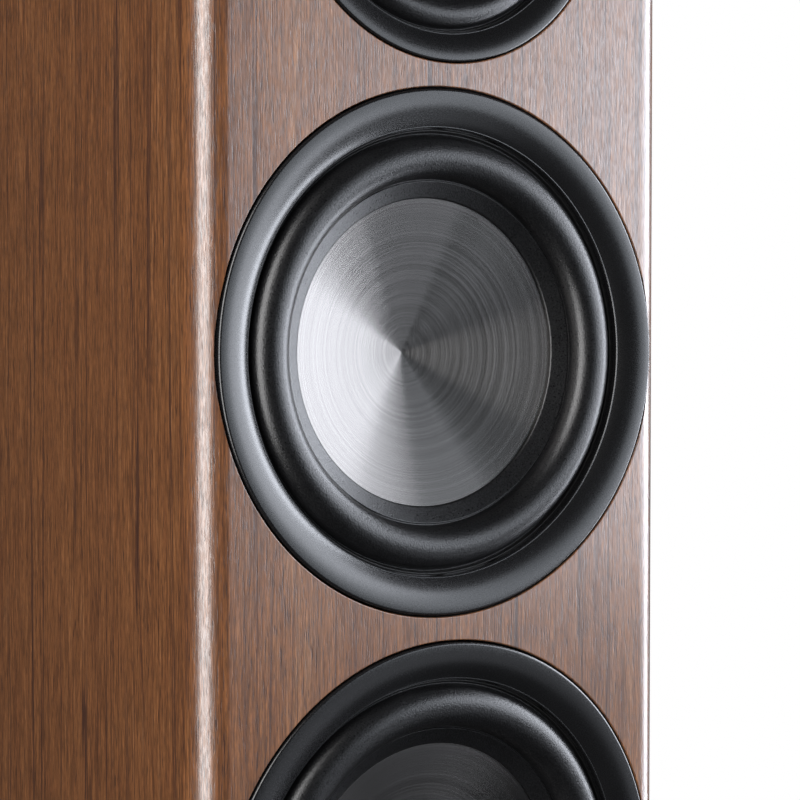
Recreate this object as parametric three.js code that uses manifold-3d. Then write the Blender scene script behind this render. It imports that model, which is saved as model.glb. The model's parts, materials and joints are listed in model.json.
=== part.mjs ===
// A three-way floorstanding loudspeaker: a veneered cabinet on a plinth with adjustable feet,
// two woofers, a midrange, a dome tweeter, rear reflex ports, binding posts and a crossover.
// Millimetres, +Z up. The drivers face -Y. The origin is on the floor under the plinth's middle.

import * as THREE from "three";
import { mergeVertices } from "three/addons/utils/BufferGeometryUtils.js";
import Module from "manifold-3d";

const wasm = await Module();
wasm.setup();

// ---------------------------------------------------------------- driving dimensions

const GAP = 0.3; // clearance between pieces that touch

const CABINET_WIDTH = 247;
const CABINET_DEPTH = 360;
const CABINET_HEIGHT = 1105;
const CORNER_RADIUS = 15; // vertical front edges
const BAFFLE_THICKNESS = 28;
const PANEL_THICKNESS = 20;
const BRACE_THICKNESS = 18;

const PLINTH_WIDTH = 287;
const PLINTH_DEPTH = 410;
const PLINTH_THICKNESS = 25;
const PLINTH_CORNER_RADIUS = 22;

const FOOT_RADIUS = 20;
const FOOT_BASE_HEIGHT = 8;
const FOOT_STEM_RADIUS = 5;
const FOOT_STEM_LENGTH = 22; // above the plinth's underside
const FOOT_INSET = 32; // from the plinth's edges to a foot's axis
const PLINTH_CLEARANCE = 17; // from the floor to the plinth's underside

const WOOFER_RECESS_RADIUS = 115.3;
const WOOFER_RECESS_DEPTH = 12;
const WOOFER_HOLE_RADIUS = 98;
const MIDRANGE_SIZE = 0.75; // the midrange is the woofer at three quarters
const TWEETER_RECESS_RADIUS = 52.4;
const TWEETER_RECESS_DEPTH = 4.8;
const TWEETER_HOLE_RADIUS = 38;
const RECESS_SPACING = 10.4; // veneer left between two recesses
const TWEETER_DROP = 84; // from the cabinet's top to the tweeter's axis

const PORT_RADIUS = 34; // inside the tube
const PORT_LENGTH = 140;
const PORT_SLEEVE = 12.5; // from the tube's inside to the outside of the part in the panel's hole

const TERMINAL_PLATE_WIDTH = 110;
const TERMINAL_PLATE_HEIGHT = 80;
const TERMINAL_PLATE_THICKNESS = 3;
const TERMINAL_CORNER_RADIUS = 6;
const WIRE_OPENING_WIDTH = 80;
const WIRE_OPENING_HEIGHT = 50;
const POST_SPACING = 44;
const POST_HEIGHT = 150; // above the floor

const BRACE_FRAME = 35; // width of the frame round the opening of a brace
const WADDING_WIDTH = 190;
const WADDING_THICKNESS = 60;
const WADDING_MARGIN = 12; // from the shelf below it and the walls' top above it
const CROSSOVER_BOARD_THICKNESS = 3;

const CLEAR = 5; // how far a cutter reaches past the face that it cuts

const ROUND = 32; // sides of the large visible circles
const COARSE = 20; // sides of the hidden and small circles

// ---------------------------------------------------------------- places worked out from them

const frontY = -CABINET_DEPTH / 2;
const rearY = CABINET_DEPTH / 2;
const baffleBackY = frontY + BAFFLE_THICKNESS;
const rearPanelFrontY = rearY - PANEL_THICKNESS;
const insideHalfWidth = CABINET_WIDTH / 2 - PANEL_THICKNESS;

const cabinetBottomZ = PLINTH_CLEARANCE + PLINTH_THICKNESS + GAP;
const cabinetTopZ = cabinetBottomZ + CABINET_HEIGHT;
const wallBottomZ = cabinetBottomZ + PANEL_THICKNESS + GAP;
const wallTopZ = cabinetTopZ - PANEL_THICKNESS - GAP;
const wallHeight = wallTopZ - wallBottomZ;
const floorInsideZ = cabinetBottomZ + PANEL_THICKNESS;

const midrangeRecessRadius = WOOFER_RECESS_RADIUS * MIDRANGE_SIZE;
const tweeterZ = cabinetTopZ - TWEETER_DROP;
const midrangeZ = tweeterZ - TWEETER_RECESS_RADIUS - RECESS_SPACING - midrangeRecessRadius;
const upperWooferZ = midrangeZ - midrangeRecessRadius - RECESS_SPACING - WOOFER_RECESS_RADIUS;
const lowerWooferZ = upperWooferZ - 2 * WOOFER_RECESS_RADIUS - RECESS_SPACING;

const chamberShelfZ = midrangeZ - midrangeRecessRadius - RECESS_SPACING;
const middleBraceZ = (upperWooferZ + lowerWooferZ - BRACE_THICKNESS) / 2;
const lowerBraceZ = lowerWooferZ - WOOFER_RECESS_RADIUS - 50; // below the lower woofer's recess
const upperPortZ = upperWooferZ - 5;
const lowerPortZ = lowerWooferZ - 20;

// ---------------------------------------------------------------- finishes

const finishes = {
  walnut: { color: 0x6b4630, roughness: 0.35, metalness: 0 },
  fibreboard: { color: 0xb59a78, roughness: 0.9, metalness: 0 },
  blackLacquer: { color: 0x17171a, roughness: 0.4, metalness: 0 },
  steel: { color: 0xa9abae, roughness: 0.35, metalness: 1 },
  blackMetal: { color: 0x1b1b1d, roughness: 0.45, metalness: 0.6 },
  castAlloy: { color: 0x2b2c2e, roughness: 0.6, metalness: 0.5 },
  brushedAlloy: { color: 0xc9c9cb, roughness: 0.3, metalness: 1 },
  rubber: { color: 0x1a1a1c, roughness: 0.6, metalness: 0 },
  copper: { color: 0xb06a3a, roughness: 0.4, metalness: 1 },
  spiderCloth: { color: 0xb8923e, roughness: 0.95, metalness: 0 },
  ferrite: { color: 0x3a3a3c, roughness: 0.8, metalness: 0 },
  domeCloth: { color: 0x141416, roughness: 0.7, metalness: 0 },
  blackPlastic: { color: 0x161618, roughness: 0.5, metalness: 0 },
  redPlastic: { color: 0x9c1a1c, roughness: 0.4, metalness: 0 },
  gold: { color: 0xd8b04c, roughness: 0.25, metalness: 1 },
  circuitBoard: { color: 0x1f4a32, roughness: 0.5, metalness: 0 },
  capacitorFilm: { color: 0x7a1f1c, roughness: 0.35, metalness: 0 },
  wadding: { color: 0xd9d6cd, roughness: 1, metalness: 0 },
};

// ---------------------------------------------------------------- building helpers

const root = new THREE.Group();

function addPiece(parent, name, geometry, finish) {
  const mesh = new THREE.Mesh(geometry, new THREE.MeshStandardMaterial(finish));
  mesh.name = name;
  parent.add(mesh);
  return mesh;
}

function addGroup(parent, x, y, z) {
  const group = new THREE.Group();
  group.position.set(x, y, z);
  parent.add(group);
  return group;
}

function solidOf(geometry) {
  const bare = geometry.index ? geometry.toNonIndexed() : geometry.clone();
  bare.deleteAttribute("normal");
  bare.deleteAttribute("uv");
  const merged = mergeVertices(bare, 1e-4);
  const vertProperties = merged.getAttribute("position").array;
  const triVerts = new Uint32Array(merged.index.array);
  return new wasm.Manifold(new wasm.Mesh({ numProp: 3, vertProperties, triVerts }));
}

function geometryOf(solid) {
  const mesh = solid.getMesh();
  return new THREE.BufferGeometry()
    .setAttribute("position", new THREE.BufferAttribute(mesh.vertProperties, 3))
    .setIndex(new THREE.BufferAttribute(mesh.triVerts, 1));
}

function cut(geometry, cutters) {
  const cutSolid = cutters.reduce((left, cutter) => left.subtract(solidOf(cutter)), solidOf(geometry));
  return geometryOf(cutSolid);
}

// Revolves [radius, depth] points about Y. A profile off the axis is closed on itself.
function revolve(profile, sides) {
  const points = profile.map(([radius, depth]) => new THREE.Vector2(radius, depth));
  if (THREE.ShapeUtils.area(points) < 0) points.reverse();
  const onAxis = points.some((point) => point.x === 0);
  if (!onAxis) points.push(points[0].clone());
  return new THREE.LatheGeometry(onAxis ? fromAxis(points) : points, sides);
}

// Turns a closed profile so that its stretch along the axis falls between its last and first point.
function fromAxis(points) {
  const last = points.length - 1;
  const start = points.findIndex((point, i) => point.x === 0 && points[i === 0 ? last : i - 1].x === 0);
  return [...points.slice(start), ...points.slice(0, start)];
}

// The closed outline of a sheet of even thickness, behind the line of points given.
function sheetProfile(line, thickness) {
  const back = line.map(([radius, depth], i) => {
    const [r0, d0] = line[Math.max(i - 1, 0)];
    const [r1, d1] = line[Math.min(i + 1, line.length - 1)];
    const length = Math.hypot(r1 - r0, d1 - d0);
    const offset = thickness / length;
    return [radius + (d1 - d0) * offset, depth - (r1 - r0) * offset];
  });
  return [...line, ...back.reverse()];
}

function scaled(profile, size) {
  return profile.map(([radius, depth]) => [radius * size, depth * size]);
}

// A cylinder along Y from one depth to another.
function rod(radius, fromY, toY, sides) {
  return new THREE.CylinderGeometry(radius, radius, toY - fromY, sides).translate(0, (fromY + toY) / 2, 0);
}

function box(x0, x1, y0, y1, z0, z1) {
  const geometry = new THREE.BoxGeometry(x1 - x0, y1 - y0, z1 - z0);
  return geometry.translate((x0 + x1) / 2, (y0 + y1) / 2, (z0 + z1) / 2);
}

function roundedRectangle(halfWidth, halfDepth, radius) {
  const shape = new THREE.Shape();
  shape.moveTo(halfWidth, -halfDepth + radius);
  shape.lineTo(halfWidth, halfDepth - radius);
  shape.absarc(halfWidth - radius, halfDepth - radius, radius, 0, Math.PI / 2);
  shape.absarc(-halfWidth + radius, halfDepth - radius, radius, Math.PI / 2, Math.PI);
  shape.absarc(-halfWidth + radius, -halfDepth + radius, radius, Math.PI, 1.5 * Math.PI);
  shape.absarc(halfWidth - radius, -halfDepth + radius, radius, 1.5 * Math.PI, 2 * Math.PI);
  return shape;
}

// ---------------------------------------------------------------- cabinet

// Plan outline with rounded front corners, from the front back to the depth given.
function cabinetOutline(backY) {
  const half = CABINET_WIDTH / 2;
  const shape = new THREE.Shape();
  shape.moveTo(half, backY);
  shape.lineTo(-half, backY);
  shape.absarc(-half + CORNER_RADIUS, frontY + CORNER_RADIUS, CORNER_RADIUS, Math.PI, 1.5 * Math.PI);
  shape.absarc(half - CORNER_RADIUS, frontY + CORNER_RADIUS, CORNER_RADIUS, 1.5 * Math.PI, 2 * Math.PI);
  return shape;
}

function extrudeUp(shape, z, height, curveSegments) {
  const geometry = new THREE.ExtrudeGeometry(shape, { depth: height, bevelEnabled: false, curveSegments });
  return geometry.translate(0, 0, z);
}

// The recess that a driver's flange sits in, and the hole for what is behind it.
function driverOpening(z, recessRadius, recessDepth, holeRadius) {
  return [
    rod(recessRadius, frontY - CLEAR, frontY + recessDepth, ROUND).translate(0, 0, z),
    rod(holeRadius, frontY, baffleBackY + CLEAR, ROUND).translate(0, 0, z),
  ];
}

function frontBaffle() {
  const blank = extrudeUp(cabinetOutline(baffleBackY), wallBottomZ, wallHeight, 8);
  const wooferSizes = [WOOFER_RECESS_RADIUS, WOOFER_RECESS_DEPTH, WOOFER_HOLE_RADIUS];
  const midrangeSizes = wooferSizes.map((length) => length * MIDRANGE_SIZE);
  return cut(blank, [
    ...driverOpening(upperWooferZ, ...wooferSizes),
    ...driverOpening(lowerWooferZ, ...wooferSizes),
    ...driverOpening(midrangeZ, ...midrangeSizes),
    ...driverOpening(tweeterZ, TWEETER_RECESS_RADIUS, TWEETER_RECESS_DEPTH, TWEETER_HOLE_RADIUS),
  ]);
}

function sidePanel(side) {
  const inner = side * insideHalfWidth;
  const outer = side * (CABINET_WIDTH / 2);
  return box(Math.min(inner, outer), Math.max(inner, outer), baffleBackY + GAP, rearY, wallBottomZ, wallTopZ);
}

function rearPanel() {
  const half = insideHalfWidth - GAP;
  const board = box(-half, half, rearPanelFrontY, rearY, wallBottomZ, wallTopZ);
  const portHole = rod(PORT_RADIUS + PORT_SLEEVE + 0.8, rearPanelFrontY - CLEAR, rearY + CLEAR, COARSE);
  const centred = (width, height, fromY, toY) =>
    box(-width / 2, width / 2, fromY, toY, POST_HEIGHT - height / 2, POST_HEIGHT + height / 2);
  const plateRecess = centred(
    TERMINAL_PLATE_WIDTH + 2 * GAP,
    TERMINAL_PLATE_HEIGHT + 2 * GAP,
    rearY - TERMINAL_PLATE_THICKNESS - GAP,
    rearY + CLEAR,
  );
  const wireOpening = centred(WIRE_OPENING_WIDTH, WIRE_OPENING_HEIGHT, rearPanelFrontY - CLEAR, rearY);
  return cut(board, [
    portHole.clone().translate(0, 0, upperPortZ),
    portHole.clone().translate(0, 0, lowerPortZ),
    plateRecess,
    wireOpening,
  ]);
}

function capPanel(z) {
  return extrudeUp(cabinetOutline(rearY), z, PANEL_THICKNESS, 8);
}

const shelfHalfWidth = insideHalfWidth - GAP;
const shelfFrontY = baffleBackY + GAP;
const shelfRearY = rearPanelFrontY - GAP;

// A solid board across the inside.
function shelf(z) {
  return box(-shelfHalfWidth, shelfHalfWidth, shelfFrontY, shelfRearY, z, z + BRACE_THICKNESS);
}

// A shelf with an opening that leaves a frame.
function brace(z) {
  const halfDepth = (shelfRearY - shelfFrontY) / 2;
  const opening = roundedRectangle(shelfHalfWidth - BRACE_FRAME, halfDepth - BRACE_FRAME, 25);
  const cutter = extrudeUp(opening, z - CLEAR, BRACE_THICKNESS + 2 * CLEAR, 4);
  return cut(shelf(z), [cutter.translate(0, shelfFrontY + halfDepth, 0)]);
}

function addCabinet() {
  addPiece(root, "front_baffle", frontBaffle(), finishes.walnut);
  addPiece(root, "side_panel_left", sidePanel(-1), finishes.walnut);
  addPiece(root, "side_panel_right", sidePanel(1), finishes.walnut);
  addPiece(root, "rear_panel", rearPanel(), finishes.walnut);
  addPiece(root, "top_panel", capPanel(cabinetTopZ - PANEL_THICKNESS), finishes.walnut);
  addPiece(root, "bottom_panel", capPanel(cabinetBottomZ), finishes.walnut);
  addPiece(root, "chamber_shelf", shelf(chamberShelfZ), finishes.fibreboard);
  addPiece(root, "middle_brace", brace(middleBraceZ), finishes.fibreboard);
  addPiece(root, "lower_brace", brace(lowerBraceZ), finishes.fibreboard);
}

function addWadding() {
  const half = WADDING_WIDTH / 2;
  const padRearY = rearPanelFrontY - GAP;
  const padBottomZ = chamberShelfZ + BRACE_THICKNESS + WADDING_MARGIN;
  const pad = box(-half, half, padRearY - WADDING_THICKNESS, padRearY, padBottomZ, wallTopZ - WADDING_MARGIN);
  addPiece(root, "chamber_wadding", pad, finishes.wadding);
}

// ---------------------------------------------------------------- plinth and feet

const footPlaces = {
  front_left: [-1, -1],
  front_right: [1, -1],
  rear_left: [-1, 1],
  rear_right: [1, 1],
};

function footPosition([sideX, sideY]) {
  return [sideX * (PLINTH_WIDTH / 2 - FOOT_INSET), sideY * (PLINTH_DEPTH / 2 - FOOT_INSET)];
}

// Revolves a [radius, height] profile about Z.
function turned(profile, sides) {
  return revolve(profile, sides).rotateX(Math.PI / 2);
}

function plinth() {
  const outline = roundedRectangle(PLINTH_WIDTH / 2, PLINTH_DEPTH / 2, PLINTH_CORNER_RADIUS);
  const board = extrudeUp(outline, PLINTH_CLEARANCE, PLINTH_THICKNESS, 6);
  const holes = Object.values(footPlaces).map((place) => {
    const [x, y] = footPosition(place);
    const hole = rod(FOOT_STEM_RADIUS + 0.6, -CLEAR, PLINTH_THICKNESS - 1, 16).rotateX(Math.PI / 2);
    return hole.translate(x, y, PLINTH_CLEARANCE);
  });
  return cut(board, holes);
}

function foot() {
  const neckZ = FOOT_BASE_HEIGHT + 2;
  const stemTopZ = PLINTH_CLEARANCE + FOOT_STEM_LENGTH;
  return turned(
    [
      [0, 0],
      [FOOT_RADIUS - 1, 0],
      [FOOT_RADIUS, 1],
      [FOOT_RADIUS, FOOT_BASE_HEIGHT - 1],
      [FOOT_RADIUS - 1, FOOT_BASE_HEIGHT],
      [FOOT_STEM_RADIUS + 3, neckZ],
      [FOOT_STEM_RADIUS, neckZ],
      [FOOT_STEM_RADIUS, stemTopZ],
      [0, stemTopZ],
    ],
    20,
  );
}

function addPlinthAndFeet() {
  addPiece(root, "plinth", plinth(), finishes.blackLacquer);
  for (const [place, sides] of Object.entries(footPlaces)) {
    const mesh = addPiece(root, "foot_" + place, foot(), finishes.steel);
    mesh.position.set(...footPosition(sides), 0);
  }
}

// ---------------------------------------------------------------- cone drivers

// Every profile is [radius, depth behind the baffle's front] at the woofer's size.

// The ring's front is nearly flat at its outer edge and rolls inwards to a crisp edge.
function trimRingProfile() {
  const crest = { radius: 112.7, depth: -0.7 };
  const bendRadius = 25.6;
  const outerSlope = THREE.MathUtils.degToRad(-2.6);
  const innerSlope = THREE.MathUtils.degToRad(34);
  const steps = 4;
  const front = Array.from({ length: steps + 1 }, (_, i) => {
    const slope = outerSlope + ((innerSlope - outerSlope) * i) / steps;
    return [crest.radius - bendRadius * Math.sin(slope), crest.depth + bendRadius * (1 - Math.cos(slope))];
  });
  return [[114.4, 6.7], [114.4, 0], ...front, [97.8, 4.5], [97.8, 6.7]];
}

const basketProfile = [
  [113.6, 7.5],
  [98.2, 7.5],
  [98.2, 9.8],
  [93, 9.8],
  [93, 14],
  [60.2, 50],
  [60.2, 54.3],
  [56, 54.3],
  [56, 65.7],
  [28, 65.7],
  [28, 69.7],
  [64.5, 69.7],
  [64.5, 52],
  [97.2, 16.5],
  [97.2, 11.7],
  [113.6, 11.7],
];

// The windows between the spokes of the basket.
function basketWindows() {
  const windowCount = 6;
  return Array.from({ length: windowCount }, (_, i) =>
    box(58, 120, 19, 47, -22, 22).rotateY((i * 2 * Math.PI) / windowCount),
  );
}

// The half roll, from its glued lip at the rim to its flange on the cone.
function surroundProfile() {
  const lipDepth = 8.4;
  const rollStart = [95, lipDepth];
  const rollEnd = [76.1, 10.5];
  const rollHeight = 8.3;
  const steps = 4;
  const roll = Array.from({ length: steps - 1 }, (_, i) => {
    const turn = ((i + 1) / steps) * Math.PI;
    const along = (1 - Math.cos(turn)) / 2;
    const radius = rollStart[0] + (rollEnd[0] - rollStart[0]) * along;
    const depth = rollStart[1] + (rollEnd[1] - rollStart[1]) * along;
    return [radius, depth - rollHeight * Math.sin(turn)];
  });
  return sheetProfile([[67.7, 14.7], rollEnd, ...roll.reverse(), rollStart, [97, lipDepth]], -1);
}

const coneProfile = [
  [0, 36.4],
  [67.4, 16],
  [68, 16.05],
  [75.4, 12.4],
  [75.9, 13.3],
  [68, 17.2],
  [0, 37.5],
];

const voiceCoilProfile = [
  [24.2, 31.2],
  [24.9, 31.2],
  [24.9, 66],
  [25.8, 66],
  [25.8, 82],
  [24.2, 82],
];

function spiderProfile() {
  const pointCount = 4; // one full wave
  const innerRadius = 27;
  const outerRadius = 55;
  const waves = Array.from({ length: pointCount + 1 }, (_, i) => {
    const radius = innerRadius + ((outerRadius - innerRadius) * i) / pointCount;
    return [radius, 52.8 - 2.5 * Math.sin((i / pointCount) * 2 * Math.PI)];
  });
  return sheetProfile([[25.3, 52.8], ...waves, [59.5, 52.8]], -1.1);
}

const frontPlateProfile = [
  [26.5, 70],
  [66, 70],
  [66, 78],
  [26.5, 78],
];

const magnetProfile = [
  [33, 78.3],
  [75, 78.3],
  [75, 98],
  [33, 98],
];

const polePieceProfile = [
  [8, 69],
  [23.6, 69],
  [23.6, 98.3],
  [66, 98.3],
  [66, 106.3],
  [8, 106.3],
];

function addConeDriver(name, z, size) {
  const driver = addGroup(root, 0, frontY, z);
  const add = (piece, profile, sides, finish) =>
    addPiece(driver, name + "_" + piece, revolve(scaled(profile, size), sides), finish);
  add("trim_ring", trimRingProfile(), ROUND, finishes.blackMetal);
  add("surround", surroundProfile(), ROUND, finishes.rubber);
  add("cone", coneProfile, ROUND, finishes.brushedAlloy);
  add("voice_coil", voiceCoilProfile, COARSE, finishes.copper);
  add("spider", spiderProfile(), COARSE, finishes.spiderCloth);
  add("front_plate", frontPlateProfile, COARSE, finishes.steel);
  add("magnet", magnetProfile, COARSE, finishes.ferrite);
  add("pole_piece", polePieceProfile, COARSE, finishes.steel);
  const basket = cut(revolve(basketProfile, COARSE), basketWindows()).scale(size, size, size);
  addPiece(driver, name + "_basket", basket, finishes.castAlloy);
}

// ---------------------------------------------------------------- tweeter

function arcPoints(rimRadius, rimDepth, crownDepth, steps) {
  const height = rimDepth - crownDepth;
  const sphereRadius = (rimRadius * rimRadius + height * height) / (2 * height);
  const halfAngle = Math.asin(rimRadius / sphereRadius);
  return Array.from({ length: steps + 1 }, (_, i) => {
    const angle = (halfAngle * i) / steps;
    const radius = i === 0 ? 0 : sphereRadius * Math.sin(angle);
    return [radius, crownDepth + sphereRadius * (1 - Math.cos(angle))];
  });
}

const faceplateProfile = [
  [51.7, 4.5],
  [51.7, 0.5],
  [51.2, 0],
  [34, 0],
  [27, 0.9],
  [22, 2.4],
  [19.5, 4],
  [19.5, 4.5],
];

const tweeterMotorProfile = [
  [0, 6.4],
  [12.9, 6.4],
  [12.9, 15],
  [15.6, 15],
  [15.6, 4.8],
  [35, 4.8],
  [35, 36],
  [0, 36],
];

function domeProfile() {
  const outside = arcPoints(14, 4.2, -0.2, 4);
  const inside = arcPoints(13.4, 4.8, 0.5, 4);
  return [...outside, [14, 11], [13.4, 11], ...inside.reverse()];
}

function tweeterSurroundProfile() {
  return sheetProfile([[14.4, 4], [15.6, 2.8], [17.4, 2.8], [18.4, 4], [19.2, 4]], -0.5);
}

function addTweeter() {
  const tweeter = addGroup(root, 0, frontY, tweeterZ);
  addPiece(tweeter, "tweeter_faceplate", revolve(faceplateProfile, ROUND), finishes.blackMetal);
  addPiece(tweeter, "tweeter_motor", revolve(tweeterMotorProfile, COARSE), finishes.blackPlastic);
  addPiece(tweeter, "tweeter_dome", revolve(domeProfile(), COARSE), finishes.domeCloth);
  addPiece(tweeter, "tweeter_surround", revolve(tweeterSurroundProfile(), COARSE), finishes.rubber);
}

// ---------------------------------------------------------------- reflex ports

// [radius, distance out of the rear panel's face]
function portProfile() {
  const flareRadius = 12;
  const mouth = 3;
  const flareSteps = 3;
  const flare = Array.from({ length: flareSteps + 1 }, (_, i) => {
    const turn = ((i / flareSteps) * Math.PI) / 2;
    return [PORT_RADIUS + flareRadius * (1 - Math.sin(turn)), mouth - flareRadius * (1 - Math.cos(turn))];
  });
  return [
    [PORT_RADIUS + 20, GAP],
    [PORT_RADIUS + 20, mouth],
    ...flare,
    [PORT_RADIUS, -PORT_LENGTH],
    [PORT_RADIUS + 3, -PORT_LENGTH],
    [PORT_RADIUS + 3, -flareRadius],
    [PORT_RADIUS + PORT_SLEEVE, -4],
    [PORT_RADIUS + PORT_SLEEVE, GAP],
  ];
}

function addPorts() {
  for (const [name, z] of [["port_upper", upperPortZ], ["port_lower", lowerPortZ]]) {
    const group = addGroup(root, 0, rearY, z);
    addPiece(group, name, revolve(portProfile(), COARSE), finishes.blackPlastic);
  }
}

// ---------------------------------------------------------------- binding posts

const POST_SHAFT_RADIUS = 3.4;
const POST_BORE_RADIUS = POST_SHAFT_RADIUS + 0.5;

// [radius, distance out of the terminal plate's face]
const studProfile = [
  [0, -16],
  [POST_SHAFT_RADIUS, -16],
  [POST_SHAFT_RADIUS, -7.3],
  [6, -7.3],
  [6, -3.6],
  [POST_SHAFT_RADIUS, -3.6],
  [POST_SHAFT_RADIUS, 0.3],
  [8.5, 0.3],
  [8.5, 3.3],
  [POST_SHAFT_RADIUS, 3.3],
  [POST_SHAFT_RADIUS, 22],
  [2.1, 22],
  [2.1, 4],
  [0, 4],
];

const washerProfile = [
  [POST_BORE_RADIUS, 3.6],
  [8, 3.6],
  [8, 5.1],
  [POST_BORE_RADIUS, 5.1],
];

// A fluted screw cap with a through bore.
function postCap() {
  const flutes = 12;
  const outline = new THREE.Shape();
  for (let i = 0; i < 2 * flutes; i++) {
    const angle = (i * Math.PI) / flutes;
    const radius = i % 2 === 0 ? 9.5 : 8.7;
    const corner = [radius * Math.cos(angle), radius * Math.sin(angle)];
    if (i === 0) outline.moveTo(...corner);
    else outline.lineTo(...corner);
  }
  outline.closePath();
  outline.holes.push(new THREE.Path().absarc(0, 0, POST_BORE_RADIUS, 0, 2 * Math.PI, true));
  const cap = new THREE.ExtrudeGeometry(outline, { depth: 16, bevelEnabled: false, curveSegments: 8 });
  return cap.rotateX(-Math.PI / 2).translate(0, 5.4, 0);
}

function terminalPlate() {
  const [halfWidth, halfHeight] = [TERMINAL_PLATE_WIDTH / 2, TERMINAL_PLATE_HEIGHT / 2];
  const outline = roundedRectangle(halfWidth, halfHeight, TERMINAL_CORNER_RADIUS);
  for (const x of [-POST_SPACING / 2, POST_SPACING / 2]) {
    outline.holes.push(new THREE.Path().absarc(x, 0, POST_BORE_RADIUS, 0, 2 * Math.PI, true));
  }
  const thickness = { depth: TERMINAL_PLATE_THICKNESS, bevelEnabled: false, curveSegments: 4 };
  return new THREE.ExtrudeGeometry(outline, thickness).rotateX(Math.PI / 2);
}

function addTerminals() {
  const group = addGroup(root, 0, rearY, POST_HEIGHT);
  addPiece(group, "terminal_plate", terminalPlate(), finishes.blackPlastic);
  const posts = {
    red: [POST_SPACING / 2, finishes.redPlastic],
    black: [-POST_SPACING / 2, finishes.blackPlastic],
  };
  for (const [colour, [x, finish]] of Object.entries(posts)) {
    const post = addGroup(group, x, 0, 0);
    addPiece(post, "post_stud_" + colour, revolve(studProfile, 16), finishes.gold);
    addPiece(post, "post_washer_" + colour, revolve(washerProfile, 16), finishes.gold);
    addPiece(post, "post_cap_" + colour, postCap(), finish);
  }
}

// ---------------------------------------------------------------- crossover

function addCrossover() {
  const board = addGroup(root, 0, 0, floorInsideZ + GAP);
  const partZ = CROSSOVER_BOARD_THICKNESS + GAP;
  const circuitBoard = box(-80, 80, -70, 90, 0, CROSSOVER_BOARD_THICKNESS);
  addPiece(board, "crossover_board", circuitBoard, finishes.circuitBoard);
  const coreRadius = 12;
  const coil = (radius, height) => {
    const top = partZ + height;
    return turned([[coreRadius, partZ], [radius, partZ], [radius, top], [coreRadius, top]], COARSE);
  };
  const can = (radius, length) =>
    new THREE.CylinderGeometry(radius, radius, length, 16).translate(0, 0, partZ + radius);
  addPiece(board, "inductor_large", coil(34, 30).translate(-38, 45, 0), finishes.copper);
  addPiece(board, "inductor_small", coil(24, 20).translate(42, 55, 0), finishes.copper);
  addPiece(board, "capacitor_large", can(19, 60).translate(-45, -30, 0), finishes.capacitorFilm);
  addPiece(board, "capacitor_small", can(13, 45).translate(30, -30, 0), finishes.capacitorFilm);
}

// ---------------------------------------------------------------- the assembly

addCabinet();
addWadding();
addPlinthAndFeet();
addConeDriver("woofer_upper", upperWooferZ, 1);
addConeDriver("woofer_lower", lowerWooferZ, 1);
addConeDriver("midrange", midrangeZ, MIDRANGE_SIZE);
addTweeter();
addPorts();
addTerminals();
addCrossover();

export default root;
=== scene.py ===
"""Looks for the floorstanding speaker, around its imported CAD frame. Metres, drivers facing -Y."""

import json
import math

import bmesh
import bpy
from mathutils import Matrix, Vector


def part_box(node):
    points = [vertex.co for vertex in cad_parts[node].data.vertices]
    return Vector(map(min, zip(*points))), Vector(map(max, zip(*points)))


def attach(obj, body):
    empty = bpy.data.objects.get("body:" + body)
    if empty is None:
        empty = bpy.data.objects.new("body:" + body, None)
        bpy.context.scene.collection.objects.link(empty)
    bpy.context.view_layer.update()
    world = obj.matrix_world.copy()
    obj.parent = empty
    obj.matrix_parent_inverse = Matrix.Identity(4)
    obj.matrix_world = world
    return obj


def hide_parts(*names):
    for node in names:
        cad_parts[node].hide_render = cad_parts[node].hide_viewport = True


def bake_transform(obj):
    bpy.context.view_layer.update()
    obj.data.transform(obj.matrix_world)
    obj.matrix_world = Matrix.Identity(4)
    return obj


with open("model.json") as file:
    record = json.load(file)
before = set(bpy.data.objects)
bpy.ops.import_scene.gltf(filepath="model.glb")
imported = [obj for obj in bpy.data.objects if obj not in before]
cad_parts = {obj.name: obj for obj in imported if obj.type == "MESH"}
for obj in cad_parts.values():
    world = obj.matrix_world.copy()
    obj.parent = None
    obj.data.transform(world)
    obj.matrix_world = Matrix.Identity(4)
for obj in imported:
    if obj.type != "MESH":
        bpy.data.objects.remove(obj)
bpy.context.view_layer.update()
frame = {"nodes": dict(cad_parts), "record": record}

MM = 0.001
SMOOTH = 192  # sides of the large circles
FINE = 96  # sides of the small circles

# ---------------------------------------------------------------- places read from the frame

front_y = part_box("front_baffle")[0].y
rear_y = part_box("side_panel_left")[1].y
side_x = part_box("side_panel_right")[1].x
cabinet_low_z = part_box("bottom_panel")[0].z
cabinet_high_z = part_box("top_panel")[1].z
CORNER_RADIUS = 15 * MM
WALL = 20 * MM
BAFFLE = 28 * MM
SKIN = 3 * MM  # thickness of the veneered top board and of the black underside
RECESS_EDGE = 0.6 * MM  # rounding of the veneer where it meets a driver's recess
CLEAR = 5 * MM  # how far a cutter reaches past the face that it cuts


def middle(node):
    low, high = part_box(node)
    return (low + high) / 2


def driver_centre(name):
    return Vector((0, front_y, middle(name + "_trim_ring").z))


def driver_size(name):
    """Size against the woofer's, whose trim ring is 228.8 mm across."""
    low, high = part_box(name + "_trim_ring")
    return (high.x - low.x) / (228.8 * MM)


CONE_DRIVERS = ("woofer_upper", "woofer_lower", "midrange")
tweeter_centre = Vector((0, front_y, middle("tweeter_faceplate").z))

# ---------------------------------------------------------------- mesh helpers


def new_object(name, mesh):
    obj = bpy.data.objects.new(name, mesh)
    bpy.context.scene.collection.objects.link(obj)
    return obj


def shade(mesh, sharp_degrees=32):
    mesh.polygons.foreach_set("use_smooth", [True] * len(mesh.polygons))
    mesh.set_sharp_from_angle(angle=math.radians(sharp_degrees))


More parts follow.
